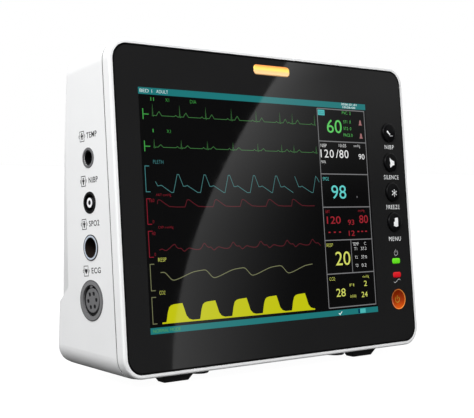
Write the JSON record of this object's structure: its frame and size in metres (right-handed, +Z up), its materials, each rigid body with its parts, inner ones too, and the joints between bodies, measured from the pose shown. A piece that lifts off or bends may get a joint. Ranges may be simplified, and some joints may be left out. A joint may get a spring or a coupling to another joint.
{
  "type": "bedside patient monitor",
  "caption": "Small bedside patient monitor: tilted flat display in a white casing, key column with indicators, alarm light bar, patient sockets on the left side, rear mounting pad.",
  "frame": {"origin": "under the middle of the casing, on the surface that the feet stand on", "axes": "+X to the right seen from the front, +Y to the rear, +Z up; the display faces -Y and leans back by 6.9 degrees"},
  "size_m": [0.2218, 0.0661, 0.1772],
  "materials": {
    "white_case": "fine satin texture",
    "clear_panel": "hard-coated, glossy",
    "black_print": "screen-printed film",
    "dark_rubber": "matt",
    "key_black": "polished",
    "key_orange": "polished, translucent look",
    "switch_plastic": "moulded",
    "board_green": "solder mask",
    "lamp_white": "moulded",
    "lens_green": "translucent",
    "lens_red": "translucent",
    "lens_amber": "translucent",
    "sheet_metal": "zinc plated",
    "display_glass": "anti-glare",
    "backlight_white": "moulded",
    "power_dark": "lacquered",
    "battery_blue": "shrink wrap",
    "bay_grey": "moulded",
    "pump_metal": "plated",
    "hose_silicone": "smooth silicone",
    "speaker_black": "paper cone and steel basket",
    "socket_grey": "moulded",
    "insert_grey": "moulded",
    "socket_black": "moulded",
    "bright_metal": "nickel plated",
    "brass_metal": "turned"
  },
  "bodies": {
    "housing": {"rear_case": "white_case", "front_bezel": "white_case", "front_panel": "clear_panel", "panel_print": "black_print", "seam_gasket": "dark_rubber", "tact_switches": "switch_plastic", "key_board": "board_green", "indicator_leds": "lamp_white", "green_lens": "lens_green", "red_lens": "lens_red", "alarm_lens": "lens_amber", "alarm_board": "board_green", "lcd_frame": "sheet_metal", "lcd_cell": "display_glass", "lcd_backlight": "backlight_white", "chassis_plate": "sheet_metal", "standoffs": "sheet_metal", "main_board": "board_green", "main_board_parts": "switch_plastic", "power_board": "board_green", "power_parts": "power_dark", "battery_pack": "battery_blue", "battery_bay": "bay_grey", "nibp_pump": "pump_metal", "nibp_valve": "pump_metal", "nibp_tube": "hose_silicone", "parameter_module": "sheet_metal", "speaker": "speaker_black", "temp_nut": "socket_grey", "temp_jack": "socket_black", "nibp_collar": "socket_black", "nibp_nipple": "bright_metal", "spo2_ring": "bright_metal", "spo2_insert": "socket_black", "ecg_shell": "socket_grey", "ecg_insert": "insert_grey", "ac_inlet": "socket_black", "ac_pins": "brass_metal", "lan_jack": "sheet_metal", "ground_stud": "bright_metal", "case_screws": "bright_metal", "mount_inserts": "brass_metal", "front_foot_left": "dark_rubber", "front_foot_right": "dark_rubber", "rear_foot_left": "dark_rubber", "rear_foot_right": "dark_rubber", "round_foot_left": "dark_rubber", "round_foot_right": "dark_rubber"},
    "nibp_button": {"nibp_key": "key_black", "nibp_plunger": "switch_plastic"},
    "silence_button": {"silence_key": "key_black", "silence_plunger": "switch_plastic"},
    "freeze_button": {"freeze_key": "key_black", "freeze_plunger": "switch_plastic"},
    "menu_button": {"menu_key": "key_black", "menu_plunger": "switch_plastic"},
    "power_button": {"power_key": "key_orange", "power_plunger": "switch_plastic"},
    "battery_cover": {"battery_door": "white_case"}
  },
  "joints": [
    {"name": "nibp_press", "type": "slide", "parent": "housing", "child": "nibp_button", "axis": [0, 0.9928, -0.1201], "range_m": [0, 0.0008], "stiffness_N_per_m": 1500},
    {"name": "silence_press", "type": "slide", "parent": "housing", "child": "silence_button", "axis": [0, 0.9928, -0.1201], "range_m": [0, 0.0008], "stiffness_N_per_m": 1500},
    {"name": "freeze_press", "type": "slide", "parent": "housing", "child": "freeze_button", "axis": [0, 0.9928, -0.1201], "range_m": [0, 0.0008], "stiffness_N_per_m": 1500},
    {"name": "menu_press", "type": "slide", "parent": "housing", "child": "menu_button", "axis": [0, 0.9928, -0.1201], "range_m": [0, 0.0008], "stiffness_N_per_m": 1500},
    {"name": "power_press", "type": "slide", "parent": "housing", "child": "power_button", "axis": [0, 0.9928, -0.1201], "range_m": [0, 0.0008], "stiffness_N_per_m": 2000},
    {"name": "battery_cover_slide", "type": "slide", "parent": "housing", "child": "battery_cover", "axis": [1, 0, 0], "range_m": [0, 0.008]}
  ]
}
